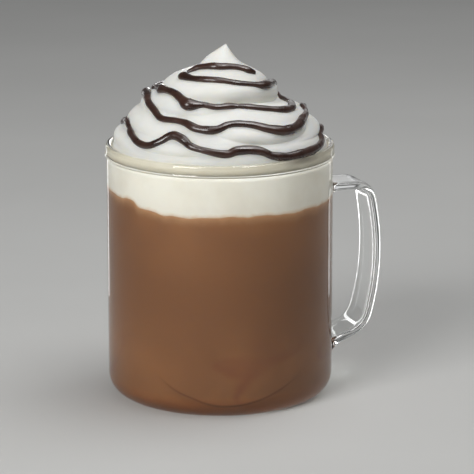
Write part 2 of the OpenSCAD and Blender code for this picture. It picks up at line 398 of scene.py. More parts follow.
# The mesh's rings and rows: radii on the base, heights on the wall and depths under the border in
# millimetres, and radii of the top as shares of the drink's own
FLOOR_RINGS = (8, 18, 28)
WALL_ROWS = (14, 26, 40, 54, 66)
ROWS_UNDER_BORDER = (6, 4.5, 3.5, 2.6, 1.8, 1.2, 0.7, 0.3, 0)
TOP_RINGS = (0.97, 0.9, 0.75, 0.5, 0.25)
drink_z = mug_h - DRINK_DROP
fill_r = inner_r + INTO_WALL
turn = np.linspace(0, 2 * math.pi, AROUND, endpoint=False)


def inside(a, start, end, soft):
    """1 in the directions from start to end, 0 elsewhere, with soft ends; the range is in degrees."""
    away = (np.degrees(a) - (start + end) / 2 + 180) % 360 - 180
    return 1 / (1 + np.exp(np.clip((np.abs(away) - (end - start) / 2) / soft, -30, 30)))


def border(a):
    """Height of the wavy border over the drink's level, in the direction a."""
    rise = WAVE_H * sum(share * np.sin(number * a + start) for number, share, start in BORDER_WAVES)
    # A finer ragged edge that comes and goes round the mug
    ragged = np.sin(19 * a + 2.1) * np.sin(5 * a + 0.6) * (0.7 + 0.3 * np.sin(34 * a + 0.7))
    rise = rise + RAGGED_H * ragged
    for start, end, share, soft in BORDER_SHELVES:
        rise = rise + BORDER_RISE * share * inside(a, start, end, soft)
    return rise


def lathe(rings):
    """Vertices and faces of a closed skin over rings of points, capped by a fan at each end."""
    around = len(rings[0])
    points = [tuple(p) for points_of_ring in rings for p in points_of_ring]
    skin = []
    for row in range(len(rings) - 1):
        low, high = row * around, (row + 1) * around
        for j in range(around):
            k = (j + 1) % around
            skin.append((low + j, low + k, high + k, high + j))
    for start, end_ring in ((0, rings[0]), ((len(rings) - 1) * around, rings[-1])):
        points.append(tuple(np.mean(end_ring, axis=0)))
        skin += [(len(points) - 1, start + j, start + (j + 1) % around) for j in range(around)]
    return points, skin


def ring(r, z, lift=0.0):
    """A ring of points round the mug's axis."""
    return np.stack([r * np.cos(turn), r * np.sin(turn), z + lift + 0 * turn], axis=1)


def mark_border(piece):
    """Stores each point's height over the drink's wavy border, in millimetres."""
    places = np.empty(len(piece.data.vertices) * 3)
    piece.data.vertices.foreach_get("co", places)
    x, y, z = places.reshape(-1, 3).T
    over = (z - drink_z - border(np.arctan2(y, x))) / MM
    layer = piece.data.attributes.new("over_border", "FLOAT", "POINT")
    layer.data.foreach_set("value", over.astype(np.float32))


bottom_arc = arc((fill_r - inner_edge_r, BASE_T - INTO_WALL + inner_edge_r), inner_edge_r, -90, 0, 10)
drink_rings = [ring(r * MM, BASE_T - INTO_WALL) for r in FLOOR_RINGS]
drink_rings += [ring(r, z) for r, z in bottom_arc]
drink_rings += [ring(fill_r, z * MM) for z in WALL_ROWS]
drink_rings += [ring(fill_r, drink_z, border(turn) - depth * MM) for depth in ROWS_UNDER_BORDER]
drink_rings += [ring(fill_r * share, drink_z, border(turn) * share) for share in TOP_RINGS]
drink = new_piece("drink", *lathe(drink_rings))
mark_border(drink)


def over_border(nodes, links, coords, wander):
    """Height over the border in millimetres, made uneven by noise; wander is the noise's reach."""
    layer = nodes.new("ShaderNodeAttribute")
    layer.attribute_name = "over_border"
    curls = arithmetic(nodes, links, "SUBTRACT", noise(nodes, links, coords, 330, 4, 0.68), 0.5)
    uneven = arithmetic(nodes, links, "MULTIPLY", curls, wander)
    return arithmetic(nodes, links, "ADD", layer.outputs["Fac"], uneven)


cocoa, nodes, links, shader = new_material("hot_chocolate")
coords = nodes.new("ShaderNodeTexCoord").outputs["Object"]
MILKY_BROWN = (0.262, 0.114, 0.042, 1)
DEEP_BROWN = (0.186, 0.077, 0.028, 1)
RED_BROWN = (0.175, 0.050, 0.020, 1)
PAINTED_FOOT_LIGHT = (0.36, 0.125, 0.038, 1)
CREAMY_TAN = (0.46, 0.25, 0.125, 1)
CURL_BROWN = (0.11, 0.036, 0.014, 1)
DARKEST_Z = 45 * MM
# The curl of settled cocoa: the direction and height of its lowest point, how much it rises a radian
# to either side of that, its wobble, the half width of its dark core and of its soft edge, how far the
# shade reaches under its middle and over it, and how far round it is whole and where it ends, in radians
CURL_WAY = math.radians(-104)
CURL_LOW = 4.6 * MM
CURL_RISE = 20 * MM
CURL_WOBBLE = 1.6 * MM
CURL_CORE = 0.1 * MM
CURL_EDGE = 0.75 * MM
CURL_SHADE = 3.5 * MM
CURL_TOP = 0.2 * MM
CURL_WHOLE = 0.45
CURL_END = 0.75
clouds = stretch(nodes, links, noise(nodes, links, coords, 22, 3, 0.55, 0.6), 0.35, 0.68, 0, 1)
tone = blend_colour(nodes, links, clouds, MILKY_BROWN, DEEP_BROWN)
# Thin curling streaks where the cocoa hasn't quite stirred in, only in the lower part
tilted = nodes.new("ShaderNodeMapping")
tilted.inputs["Rotation"].default_value = (0.5, 0.75, 0.2)
tilted.inputs["Scale"].default_value = (0.55, 1.0, 1.7)
links.new(coords, tilted.inputs["Vector"])
folds = noise(nodes, links, tilted.outputs["Vector"], 17, 1.5, 0.4, 1.6)
off_line = arithmetic(nodes, links, "ABSOLUTE", arithmetic(nodes, links, "SUBTRACT", folds, 0.5), 0.0)
line = stretch(nodes, links, off_line, 0.0, 0.028, 1.0, 0.0)
axes = nodes.new("ShaderNodeSeparateXYZ")
links.new(coords, axes.inputs["Vector"])
# Darker half way up than near the foam and near the base
over_darkest = arithmetic(nodes, links, "SUBTRACT", axes.outputs["Z"], DARKEST_Z)
from_darkest = arithmetic(nodes, links, "ABSOLUTE", over_darkest, 0.0)
half_way = stretch(nodes, links, from_darkest, 5 * MM, 27 * MM, 0.75, 0.0)
tone = blend_colour(nodes, links, half_way, tone, DEEP_BROWN)
low_down = stretch(nodes, links, axes.outputs["Z"], 14 * MM, 34 * MM, 0.62, 0.0)
streaks = arithmetic(nodes, links, "MULTIPLY", line, low_down)
tone = blend_colour(nodes, links, streaks, tone, RED_BROWN)
# Painted light: near the foot the drink is painted a lighter, more orange brown, standing in for light on
# the downward-facing base
foot_light_mask = stretch(nodes, links, axes.outputs["Z"], 2.5 * MM, 9 * MM, 0.85, 0.0)
tone = blend_colour(nodes, links, foot_light_mask, tone, PAINTED_FOOT_LIGHT)
# One thin dark curl of settled cocoa in front, with a soft shade under it
way = arithmetic(nodes, links, "ARCTAN2", axes.outputs["Y"], axes.outputs["X"])
round_from_curl = arithmetic(nodes, links, "SUBTRACT", way, CURL_WAY)
curl_bow = arithmetic(nodes, links, "POWER", round_from_curl, 2.0)
curl_rise = arithmetic(nodes, links, "MULTIPLY", curl_bow, CURL_RISE)
curl_z = arithmetic(nodes, links, "ADD", curl_rise, CURL_LOW)
wobble = arithmetic(nodes, links, "MULTIPLY", noise(nodes, links, coords, 90, 1, 0.5), CURL_WOBBLE)
curl_z = arithmetic(nodes, links, "ADD", curl_z, wobble)
over_curl = arithmetic(nodes, links, "SUBTRACT", axes.outputs["Z"], curl_z)
off_curl = arithmetic(nodes, links, "ABSOLUTE", over_curl, 0.0)
curl_line = stretch(nodes, links, off_curl, CURL_CORE, CURL_EDGE, 0.75, 0.0)
curl_shade = stretch(nodes, links, over_curl, -CURL_SHADE, CURL_TOP, 0.0, 0.3)
under_curl = arithmetic(nodes, links, "LESS_THAN", over_curl, CURL_TOP)
curl_shade = arithmetic(nodes, links, "MULTIPLY", curl_shade, under_curl)
curl = arithmetic(nodes, links, "MAXIMUM", curl_line, curl_shade)
far_round = arithmetic(nodes, links, "ABSOLUTE", round_from_curl, 0.0)
curl_ends = stretch(nodes, links, far_round, CURL_WHOLE, CURL_END, 1.0, 0.0)
curl = arithmetic(nodes, links, "MULTIPLY", curl, curl_ends)
tone = blend_colour(nodes, links, curl, tone, CURL_BROWN)
# A paler, milkier skin just under the foam
drink_height = over_border(nodes, links, coords, 2.2)
skin_tan = stretch(nodes, links, drink_height, -4.5, 0.1, 0.0, 1.0)
tone = blend_colour(nodes, links, arithmetic(nodes, links, "POWER", skin_tan, 2.2), tone, CREAMY_TAN)
links.new(tone, shader.inputs["Base Color"])
links.new(stretch(nodes, links, clouds, 0, 1, 0.38, 0.55), shader.inputs["Roughness"])
wet = place_group(nodes, links, relief, coords, {
    "Broad Scale": 40.0, "Broad Height": 0.15 * MM, "Fine Scale": 900.0, "Fine Height": 0.01 * MM})
links.new(wet.outputs["Normal"], shader.inputs["Normal"])
shader.inputs["Specular IOR Level"].default_value = 0.1
shader.inputs["Subsurface Weight"].default_value = 0.12
shader.inputs["Subsurface Radius"].default_value = (1.0, 0.5, 0.3)
shader.inputs["Subsurface Scale"].default_value = 2 * MM
drink.data.materials.append(cocoa)
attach(drink, "root")
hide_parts("hot_chocolate")

# ---------------------------------------------------------------------------------------------
# MILK FOAM
# Steamed milk beaten to a fine, dense, off-white foam. It floats on the drink and fills the mug
# to just below its lip, where the whipped cream is piped on it.
# ---------------------------------------------------------------------------------------------
FOAM_DROP = 4.7 * MM
# The mesh's rows over the border and, past its highest wave, the first of its level rows, in
# millimetres; and the rings of its top as shares of its radius
ROWS_OVER_BORDER = (0, 0.3, 0.7, 1.2, 2, 3)
FIRST_LEVEL_ROW = 9
LEVEL_ROWS = 4
FOAM_TOP_RINGS = (0.8, 0.5, 0.25)
foam_z = mug_h - FOAM_DROP
foam_rings = [ring(fill_r * share, drink_z, border(turn) * share) for share in reversed(TOP_RINGS)]
foam_rings += [ring(fill_r, drink_z, border(turn) + rise * MM) for rise in ROWS_OVER_BORDER]
foam_rings += [ring(fill_r, z) for z in np.linspace(drink_z + FIRST_LEVEL_ROW * MM, foam_z, LEVEL_ROWS)]
foam_rings += [ring(fill_r * share, foam_z) for share in FOAM_TOP_RINGS]
foam = new_piece("foam_layer", *lathe(foam_rings))
mark_border(foam)

froth, nodes, links, shader = new_material("milk_foam")
coords = nodes.new("ShaderNodeTexCoord").outputs["Object"]
FOAM_WHITE = (0.81, 0.785, 0.705, 1)
FOAM_SHADE = (0.75, 0.715, 0.625, 1)
STAINED = (0.66, 0.47, 0.30, 1)
foam_drifts = stretch(nodes, links, noise(nodes, links, coords, 55, 3, 0.6), 0.38, 0.66, 0, 1)
tone = blend_colour(nodes, links, foam_drifts, FOAM_WHITE, FOAM_SHADE)
bubbles = nodes.new("ShaderNodeTexVoronoi")
bubbles.inputs["Scale"].default_value = 1100
links.new(coords, bubbles.inputs["Vector"])
pores = stretch(nodes, links, bubbles.outputs["Distance"], 0.0, 0.35, 0.22, 0.0)
tone = blend_colour(nodes, links, pores, tone, FOAM_SHADE)
# The drink stains the foam's lowest millimetre or two
foam_height = over_border(nodes, links, coords, 2.0)
stain = stretch(nodes, links, foam_height, -0.1, 1.7, 1.0, 0.0)
tone = blend_colour(nodes, links, arithmetic(nodes, links, "POWER", stain, 1.6), tone, STAINED)
links.new(tone, shader.inputs["Base Color"])
links.new(stretch(nodes, links, foam_drifts, 0, 1, 0.55, 0.75), shader.inputs["Roughness"])
airy = place_group(nodes, links, relief, coords, {
    "Broad Scale": 120.0, "Broad Height": 0.12 * MM, "Fine Scale": 1500.0, "Fine Height": 0.03 * MM})
links.new(airy.outputs["Normal"], shader.inputs["Normal"])
shader.inputs["Specular IOR Level"].default_value = 0.1
shader.inputs["Subsurface Weight"].default_value = 0.25
shader.inputs["Subsurface Radius"].default_value = (1.0, 0.85, 0.65)
shader.inputs["Subsurface Scale"].default_value = 2.5 * MM
foam.data.materials.append(froth)
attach(foam, "root")
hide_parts("milk_foam")

# ---------------------------------------------------------------------------------------------
# WHIPPED CREAM
# Cold whipped cream pressed from a bag in one thick rope, wound round and inwards from the lip
# and lifted off to a point that tips over a little. The turns sink into each other, so in front
# only a few soft creases are left between them, while the sides and back keep clear grooves.
# ---------------------------------------------------------------------------------------------
DOME_H = 30 * MM
DOME_POWER = 1.54
TIP_H = 7.5 * MM
TIP_SPREAD = 6.0 * MM
TIP_POWER = 1.25
TIP_LEAN = 2.3 * MM
TIP_LEAN_WAY = math.radians(340)
FRONT_WAY = math.radians(340)
# The tip's turned-over rim: how far it stands out, at what radius, and how wide it is
TIP_HOOD = 0.9 * MM
HOOD_R = 4.5 * MM
HOOD_SPREAD = 2.4 * MM
# The upper turns sit to one side: how far, which way, and the height and spread as shares of the dome's
UPPER_SHIFT = 2.1 * MM
UPPER_SHIFT_WAY = math.radians(160)
SHIFT_H = 0.63
SHIFT_SPREAD = 0.17
# The lowest turn bulges on that side, up to this share of the dome's height
SHOULDER_OUT = 0.9 * MM
SHOULDER_H = 0.22
LIP_GAP = 0.35 * MM
ROPE_TURNS = 4.4
GROOVE_DEPTH = 1.3 * MM
# Under 1, each turn is widest in its lower half
ROPE_SAG = 0.68
UNEVENNESS = 0.3 * MM
# The side where the turns have sunk into each other, in degrees, and how much of the groove is gone
CALM_SIDE = (185, 315)
CALM = 0.9
# Where the rope starts, how much faster it falls in front, and its wander, all in turns
ROPE_START = 0.376
FRONT_FALL = 0.07
ROPE_WANDER = 0.025
# Creases left in the calm side: from and to in degrees, height at the start, middle and end as a
# share of the dome's, and share of the crease depth
CREASE_DEPTH = 2.9 * MM
CREASES = ((228, 356, 0.71, 0.667, 0.603, 1), (200, 268, 0.553, 0.54, 0.62, 0.45),
           (258, 332, 0.267, 0.207, 0.387, 0.55), (196, 256, 0.107, 0.073, 0.127, 0.38))
# How soon a crease fades out below and above it, and the swelling over it: its share of the depth,
# its height over the crease and its spread, all in millimetres but the share
FADE_BELOW = 1.7
FADE_ABOVE = 0.8
CREASE_SWELL = (0.3, 2.8, 2.0)
# Softness of the ends of the creases and of the calm side, in degrees
CREASE_ENDS = 5
CALM_ENDS = 7
LEAST_R = 0.2 * MM
CREAM_STEPS = 220
# Over 1, the steps from lip to tip crowd towards the tip
STEP_CROWDING = 1.25
CREAM_AROUND = 360
# Depth under the lip at which the cream leaves the glass, and then the two rows that round it off
LEAVES_GLASS = 1.6 * MM
ROUNDED = ((0.2 * MM, 1.2 * MM), (0.0, 0.6 * MM))
dome_r = inner_r - LIP_GAP


def fold_phase(h, a):
    """Turns of rope below a point; each whole number is a groove. Grooves fall faster in front."""
    turns = ROPE_TURNS * h + a / (2 * math.pi) + ROPE_START
    return turns + FRONT_FALL * np.cos(a - FRONT_WAY) + ROPE_WANDER * np.sin(3 * a + 3.84 * h)


def crease_dent(h, a):
    """How far the creases in front pull the surface in, a little sharper above than below."""
    dent = 0.0
    for start, end, h_start, h_middle, h_end, share in CREASES:
        along = ((np.degrees(a) - start + 90) % 360 - 90) / (end - start)
        bow = h_middle - (h_start + h_end) / 2
        height = h_start + (h_end - h_start) * along + 4 * bow * along * (1 - along)
        off = DOME_H / MM * (h - height)
        below = np.exp(np.minimum(off, 0) / FADE_BELOW)
        above = np.exp(-np.maximum(off, 0) / FADE_ABOVE)
        swell_share, swell_at, swell_spread = CREASE_SWELL
        swell = swell_share * np.exp(-((off - swell_at) / swell_spread) ** 2)
        fold = np.where(off < 0, below, above) - swell
        dent = dent - CREASE_DEPTH * share * fold * inside(a, start, end, CREASE_ENDS)
    return dent


def swirl(s, a):
    """Points on the swirl: s runs from 0 at the lip to 1 at the tip, a is the direction."""
    climb = math.pi / 2 * (1 - (1 - s) ** STEP_CROWDING)
    h = np.sin(climb) ** DOME_POWER
    u = fold_phase(h, a)
    bulge = np.sin(math.pi * (u - np.floor(u)) ** ROPE_SAG)
    left = 1 - CALM * inside(a, *CALM_SIDE, CALM_ENDS)
    dent = GROOVE_DEPTH * (bulge - 1) * left + crease_dent(h, a)
    dent = dent + UNEVENNESS * np.sin(2 * a + 5 * h) * np.sin(3 * a + 9 * h)
    # The grooves fade out into the tip and at the lip
    dent = dent * np.minimum(1, 5 * (1 - s)) * np.minimum(1, 0.25 + 9 * h)
    to_side = np.cos(a - UPPER_SHIFT_WAY)
    dent = dent + SHOULDER_OUT * np.sin(math.pi * np.minimum(1, h / SHOULDER_H)) * (0.5 + 0.5 * to_side)
    shift = UPPER_SHIFT * np.exp(-((h - SHIFT_H) / SHIFT_SPREAD) ** 2)
    r = dome_r * np.cos(climb) - shift
    tip = np.exp(-(np.maximum(r, 0) / TIP_SPREAD) ** TIP_POWER)
    hood = TIP_HOOD * np.exp(-((r - HOOD_R) / HOOD_SPREAD) ** 2) * np.clip(to_side, 0, 1)
    out = np.maximum(LEAST_R, r + dent * np.cos(climb) + hood)
    lean = TIP_LEAN * tip
    x = out * np.cos(a) + shift * math.cos(UPPER_SHIFT_WAY) + lean * math.cos(TIP_LEAN_WAY)
    y = out * np.sin(a) + shift * math.sin(UPPER_SHIFT_WAY) + lean * math.sin(TIP_LEAN_WAY)
    z = mug_h + DOME_H * h + dent * np.sin(climb) + TIP_H * tip + 0 * a
    return np.stack([x, y, z], axis=-1)


cream_turn = np.linspace(0, 2 * math.pi, CREAM_AROUND, endpoint=False)
steps = np.arange(CREAM_STEPS + 1) / CREAM_STEPS
foot = [(fill_r, foam_z), (fill_r, mug_h - LEAVES_GLASS)]
foot += [(dome_r + out, mug_h - depth) for out, depth in ROUNDED]
cream_rings = [np.stack([r * np.cos(cream_turn), r * np.sin(cream_turn), z + 0 * cream_turn], axis=1)
               for r, z in foot]
cream_rings += [swirl(s, cream_turn) for s in steps]
cream = new_piece("cream_swirl", *lathe(cream_rings))

whipped, nodes, links, shader = new_material("whipped_cream")
coords = nodes.new("ShaderNodeTexCoord").outputs["Object"]
CREAM_WHITE = (0.95, 0.945, 0.885, 1)
CREAM_SHADE = (0.92, 0.91, 0.835, 1)
CREAM_LIP_SHADE = (0.63, 0.58, 0.465, 1)
LIP_SHADE_WHOLE = 1.3 * MM
LIP_SHADE_END = 0.2 * MM
cream_drifts = stretch(nodes, links, noise(nodes, links, coords, 75, 4, 0.6), 0.35, 0.68, 0, 1)
tone = blend_colour(nodes, links, cream_drifts, CREAM_WHITE, CREAM_SHADE)
# Painted shade: under the lip, where it lies against the glass, the cream is painted a duller and warmer
# white
axes = nodes.new("ShaderNodeSeparateXYZ")
links.new(coords, axes.inputs["Vector"])
painted_lip_shade = stretch(nodes, links, axes.outputs["Z"], mug_h - LIP_SHADE_WHOLE, mug_h - LIP_SHADE_END, 1.0, 0.0)
tone = blend_colour(nodes, links, painted_lip_shade, tone, CREAM_LIP_SHADE)
links.new(tone, shader.inputs["Base Color"])
links.new(stretch(nodes, links, cream_drifts, 0, 1, 0.42, 0.6), shader.inputs["Roughness"])
soft = place_group(nodes, links, relief, coords, {
    "Broad Scale": 160.0, "Broad Height": 0.22 * MM, "Fine Scale": 1400.0, "Fine Height": 0.035 * MM})
links.new(soft.outputs["Normal"], shader.inputs["Normal"])
shader.inputs["Subsurface Weight"].default_value = 0.6
shader.inputs["Subsurface Radius"].default_value = (1.0, 0.9, 0.75)
shader.inputs["Subsurface Scale"].default_value = 5 * MM
shader.inputs["Specular IOR Level"].default_value = 0.35
cream.data.materials.append(whipped)
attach(cream, "root")
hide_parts("whipped_cream")

# ---------------------------------------------------------------------------------------------
# CHOCOLATE SAUCE
# Thick dark chocolate sauce let fall from a bottle in a thin line, round and round over the
# cream from the tip outwards. It clings where it lands, sags between the turns of the cream and
# piles up in a few thicker drops.
# ---------------------------------------------------------------------------------------------
SAUCE_W = 2.7 * MM
SAUCE_H = 2.1 * MM
SAUCE_RISE = 0.25 * MM
# Where the line lies, turn by turn: direction in degrees and height over the lip in millimetres.
# The first is a short line of its own round the tip, and the others run on from each other
SAUCE_TURNS = (
    ((185, 27.5), (190, 28.6), (198, 29.3), (209, 29.7), (222, 29.9), (250, 29.8), (280, 29.8),
     (299, 29.1), (309, 28.1), (318, 27.2)),
    ((184, 26.1), (192, 26.4), (200, 26.4), (211, 26.4), (233, 26.4), (253, 26.1), (272, 25.2),
     (291, 24.4), (305, 23.6), (325, 23.7), (338, 23.4), (350, 22.6), (363, 21), (378, 19.8),
     (410, 18.8), (450, 18.6), (480, 18.2)),
    ((152, 19.1), (158, 20), (165, 20.7), (178, 21), (191, 21.2), (206, 20.7), (217, 19.1), (225, 17.9),
     (236, 18.5), (247, 18.2), (260, 18.9), (274, 18.3), (288, 17), (305, 15.3), (318, 15), (328, 15.5),
     (339, 15.7), (349, 16.3), (358, 17.2), (368, 17.4), (385, 16.6), (410, 15.8), (440, 15.4),
     (480, 14.8)),
    ((140, 15.2), (149, 16.6), (157, 17.4), (167, 17.6), (176, 17), (184, 16.2), (196, 15), (207, 13.5),
     (219, 13.5), (227, 13.1), (235, 11.7), (243, 11.2), (249, 11.5), (255, 12.8), (262, 13.1),
     (272, 12.4), (282, 10.5), (292, 9.4), (305, 10), (320, 11.8), (334, 12.4), (344, 13.4), (353, 12.4),
     (366, 10.5), (400, 9), (440, 8), (480, 6.5)),
    ((145, 6), (157, 7.8), (166, 9), (174, 9.1), (183, 7.3), (194, 5.7), (202, 4.6), (209, 4.7),
     (215, 6.4), (219, 8.2), (223, 8.8), (229, 7.7), (234, 5.9), (243, 4.6), (254, 3.4), (259, 4.5),
     (268, 4.5), (274, 3.6), (279, 2), (288, 0.9), (298, 0.9), (310, 1.3), (321, 2), (328, 3),
     (334, 4.5), (342, 5.2), (352, 4.2), (370, 2.8), (390, 2.5)),
)
FIRST_LINE = len(SAUCE_TURNS[0])
# Thicker drops and thinner stretches: turn, direction, spread in degrees and how much thicker
SAUCE_DROPS = ((0, 250, 25, 0.25), (0, 312, 9, 0.3), (1, 192, 9, 0.6), (1, 314, 13, 0.6),
               (2, 150, 8, -0.4), (2, 176, 10, 0.4), (2, 224, 7, 0.9), (2, 315, 14, 0.25),
               (3, 158, 12, 0.55), (3, 240, 10, 0.25), (3, 292, 24, 0.45),
               (4, 226, 9, 0.25), (4, 262, 9, 0.3), (4, 294, 18, 0.35))
END_THICKNESS = 0.6
# The guide line hangs outside the cream, this many times as far from the middle of the mug's mouth
GUIDE_REACH = 1.4
GUIDE_COLUMNS = 24
RAY_REACH = 0.2
# How often the line's outward directions, and then its places, are averaged with their neighbours
OUTWARD_SMOOTHING = 8
LINE_SMOOTHING = 2
BEADS_A_METRE = 140
SECTION_SIDES = 14

# The cream's mean outline turns a height on it into a radius
outline_turn = np.linspace(0, 2 * math.pi, GUIDE_COLUMNS, endpoint=False)
outline = swirl(steps[:, None], outline_turn[None, :])
outline_r = np.hypot(outline[..., 0], outline[..., 1]).mean(axis=1)
outline_z = np.maximum.accumulate(outline[..., 2].mean(axis=1))
guide, thickness = [], []
for turn_number, points in enumerate(SAUCE_TURNS):
    for direction, over_lip in points:
        a = math.radians(direction)
        r = GUIDE_REACH * np.interp(mug_h + over_lip * MM, outline_z, outline_r)
        guide.append((r * math.cos(a), r * math.sin(a), mug_h + GUIDE_REACH * over_lip * MM))
        bead = 1.0
        for drop_turn, drop_direction, spread, extra in SAUCE_DROPS:
            if drop_turn == turn_number:
                bead += extra * math.exp(-((direction - drop_direction) / spread) ** 2)
        thickness.append(bead)
for end in (0, FIRST_LINE - 1, FIRST_LINE, -1):
    thickness[end] *= END_THICKNESS
guide_mesh = bpy.data.meshes.new("chocolate_sauce")
guide_mesh.from_pydata(guide, [(i, i + 1) for i in range(len(guide) - 1) if i != FIRST_LINE - 1], [])
layer = guide_mesh.attributes.new("thickness", "FLOAT", "POINT")
layer.data.foreach_set("value", np.array(thickness, dtype=np.float32))
sauce = bpy.data.objects.new("chocolate_sauce", guide_mesh)
bpy.context.scene.collection.objects.link(sauce)

sauce_finish, nodes, links, shader = new_material("chocolate_sauce")
coords = nodes.new("ShaderNodeTexCoord").outputs["Object"]
SAUCE_DARK = (0.026, 0.0095, 0.0055, 1)
SAUCE_BROWN = (0.058, 0.021, 0.012, 1)
pooled = stretch(nodes, links, noise(nodes, links, coords, 150, 3, 0.55), 0.35, 0.7, 0, 1)
links.new(blend_colour(nodes, links, pooled, SAUCE_DARK, SAUCE_BROWN), shader.inputs["Base Color"])
links.new(stretch(nodes, links, pooled, 0, 1, 0.22, 0.38), shader.inputs["Roughness"])
sticky = place_group(nodes, links, relief, coords, {
    "Broad Scale": 260.0, "Broad Height": 0.25 * MM, "Fine Scale": 2200.0, "Fine Height": 0.004 * MM})
links.new(sticky.outputs["Normal"], shader.inputs["Normal"])
shader.inputs["Coat Weight"].default_value = 0.5
shader.inputs["Coat Roughness"].default_value = 0.12

tree = bpy.data.node_groups.new("sauce_on_cream", "GeometryNodeTree")
SAUCE_INPUTS = {"Surface": ("NodeSocketObject", cream), "Aim": ("NodeSocketVector", (0.0, 0.0, mug_h)),
                "Width": ("NodeSocketFloat", SAUCE_W), "Height": ("NodeSocketFloat", SAUCE_H),
                "Rise": ("NodeSocketFloat", SAUCE_RISE), "Step": ("NodeSocketFloat", 0.6 * MM),
                "Unevenness": ("NodeSocketFloat", 0.55), "Seed": ("NodeSocketFloat", 4.0),
                "Material": ("NodeSocketMaterial", sauce_finish)}
tree.interface.new_socket("Geometry", in_out="INPUT", socket_type="NodeSocketGeometry")
for name, (kind, _) in SAUCE_INPUTS.items():
    tree.interface.new_socket(name, in_out="INPUT", socket_type=kind)
tree.interface.new_socket("Geometry", in_out="OUTPUT", socket_type="NodeSocketGeometry")


def add(kind, values=None, **settings):
    """A node of the tree, with the values of its inputs and its settings."""
    node = tree.nodes.new(kind)
    for name, value in settings.items():
        setattr(node, name, value)
    for name, value in (values or {}).items():
        node.inputs[name].default_value = value
    return node


def join(*pairs):
    """Links pairs of sockets of the tree."""
    for start, end in pairs:
        tree.links.new(start, end)


given = add("NodeGroupInput").outputs

# The guide line as a curve with even steps
to_curve = add("GeometryNodeMeshToCurve")
rounded = add("GeometryNodeCurveSplineType", spline_type="CATMULL_ROM")
even = add("GeometryNodeResampleCurve", mode="LENGTH")
join((given["Geometry"], to_curve.inputs["Mesh"]), (to_curve.outputs["Curve"], rounded.inputs["Curve"]),
     (rounded.outputs["Curve"], even.inputs["Curve"]), (given["Step"], even.inputs["Length"]))

# Each point is shot at the middle of the mug's mouth, to where it meets the cream
surface = add("GeometryNodeObjectInfo", transform_space="RELATIVE")
here = add("GeometryNodeInputPosition")
inwards = add("ShaderNodeVectorMath", operation="SUBTRACT")
shot = add("GeometryNodeRaycast", {"Ray Length": RAY_REACH})
smooth_out = add("GeometryNodeBlurAttribute", {"Iterations": OUTWARD_SMOOTHING}, data_type="FLOAT_VECTOR")
keep_out = add("GeometryNodeStoreNamedAttribute", {"Name": "out"}, data_type="FLOAT_VECTOR",
               domain="POINT")
land = add("GeometryNodeSetPosition")
join((given["Surface"], surface.inputs["Object"]), (given["Aim"], inwards.inputs[0]),
     (here.outputs["Position"], inwards.inputs[1]),
     (surface.outputs["Geometry"], shot.inputs["Target Geometry"]),
     (inwards.outputs["Vector"], shot.inputs["Ray Direction"]),
     (shot.outputs["Hit Normal"], smooth_out.inputs["Value"]),
     (even.outputs["Curve"], keep_out.inputs["Geometry"]),
     (smooth_out.outputs["Value"], keep_out.inputs["Value"]),
     (keep_out.outputs["Geometry"], land.inputs["Geometry"]),
     (shot.outputs["Hit Position"], land.inputs["Position"]))

# The landed line is smoothed a little, and its normals turned away from the cream
landed = add("GeometryNodeInputPosition")
settle = add("GeometryNodeBlurAttribute", {"Iterations": LINE_SMOOTHING}, data_type="FLOAT_VECTOR")
settled = add("GeometryNodeSetPosition")
out_way = add("GeometryNodeInputNamedAttribute", {"Name": "out"}, data_type="FLOAT_VECTOR")
stand = add("GeometryNodeSetCurveNormal", mode="FREE")
join((land.outputs["Geometry"], settled.inputs["Geometry"]),
     (landed.outputs["Position"], settle.inputs["Value"]),
     (settle.outputs["Value"], settled.inputs["Position"]),
     (settled.outputs["Geometry"], stand.inputs["Curve"]),
     (out_way.outputs["Attribute"], stand.inputs["Normal"]))

# Its thickness: the drops' own, times 1 plus some noise
drops = add("GeometryNodeInputNamedAttribute", {"Name": "thickness"}, data_type="FLOAT")
beads = add("ShaderNodeTexNoise", {"Scale": BEADS_A_METRE, "Detail": 1}, noise_dimensions="4D")
centred = add("ShaderNodeMath", {1: 0.5}, operation="SUBTRACT")
amount = add("ShaderNodeMath", operation="MULTIPLY")
one_plus = add("ShaderNodeMath", {1: 1.0}, operation="ADD")
bead_size = add("ShaderNodeMath", operation="MULTIPLY")
join((given["Seed"], beads.inputs["W"]), (beads.outputs["Fac"], centred.inputs[0]),
     (centred.outputs["Value"], amount.inputs[0]), (given["Unevenness"], amount.inputs[1]),
     (amount.outputs["Value"], one_plus.inputs[0]), (one_plus.outputs["Value"], bead_size.inputs[0]),
     (drops.outputs["Attribute"], bead_size.inputs[1]))

# An oval section, a little raised, drawn along the line
circle = add("GeometryNodeCurvePrimitiveCircle", {"Resolution": SECTION_SIDES, "Radius": 0.5},
             mode="RADIUS")
oval_size = add("ShaderNodeCombineXYZ")
oval_place = add("ShaderNodeCombineXYZ")
oval = add("GeometryNodeTransform")
rope = add("GeometryNodeCurveToMesh", {"Fill Caps": True})
smooth_shade = add("GeometryNodeSetShadeSmooth")
whole = add("GeometryNodeRealizeInstances")
finish_node = add("GeometryNodeSetMaterial")
leave = add("NodeGroupOutput")
join((given["Height"], oval_size.inputs["X"]), (given["Width"], oval_size.inputs["Y"]),
     (given["Rise"], oval_place.inputs["X"]), (circle.outputs["Curve"], oval.inputs["Geometry"]),
     (oval_size.outputs["Vector"], oval.inputs["Scale"]),
     (oval_place.outputs["Vector"], oval.inputs["Translation"]),
     (stand.outputs["Curve"], rope.inputs["Curve"]),
     (oval.outputs["Geometry"], rope.inputs["Profile Curve"]),
     (bead_size.outputs["Value"], rope.inputs["Scale"]),
     (rope.outputs["Mesh"], smooth_shade.inputs["Geometry"]),
     (smooth_shade.outputs["Geometry"], whole.inputs["Geometry"]),
     (whole.outputs["Geometry"], finish_node.inputs["Geometry"]),
     (given["Material"], finish_node.inputs["Material"]),
     (finish_node.outputs["Geometry"], leave.inputs["Geometry"]))

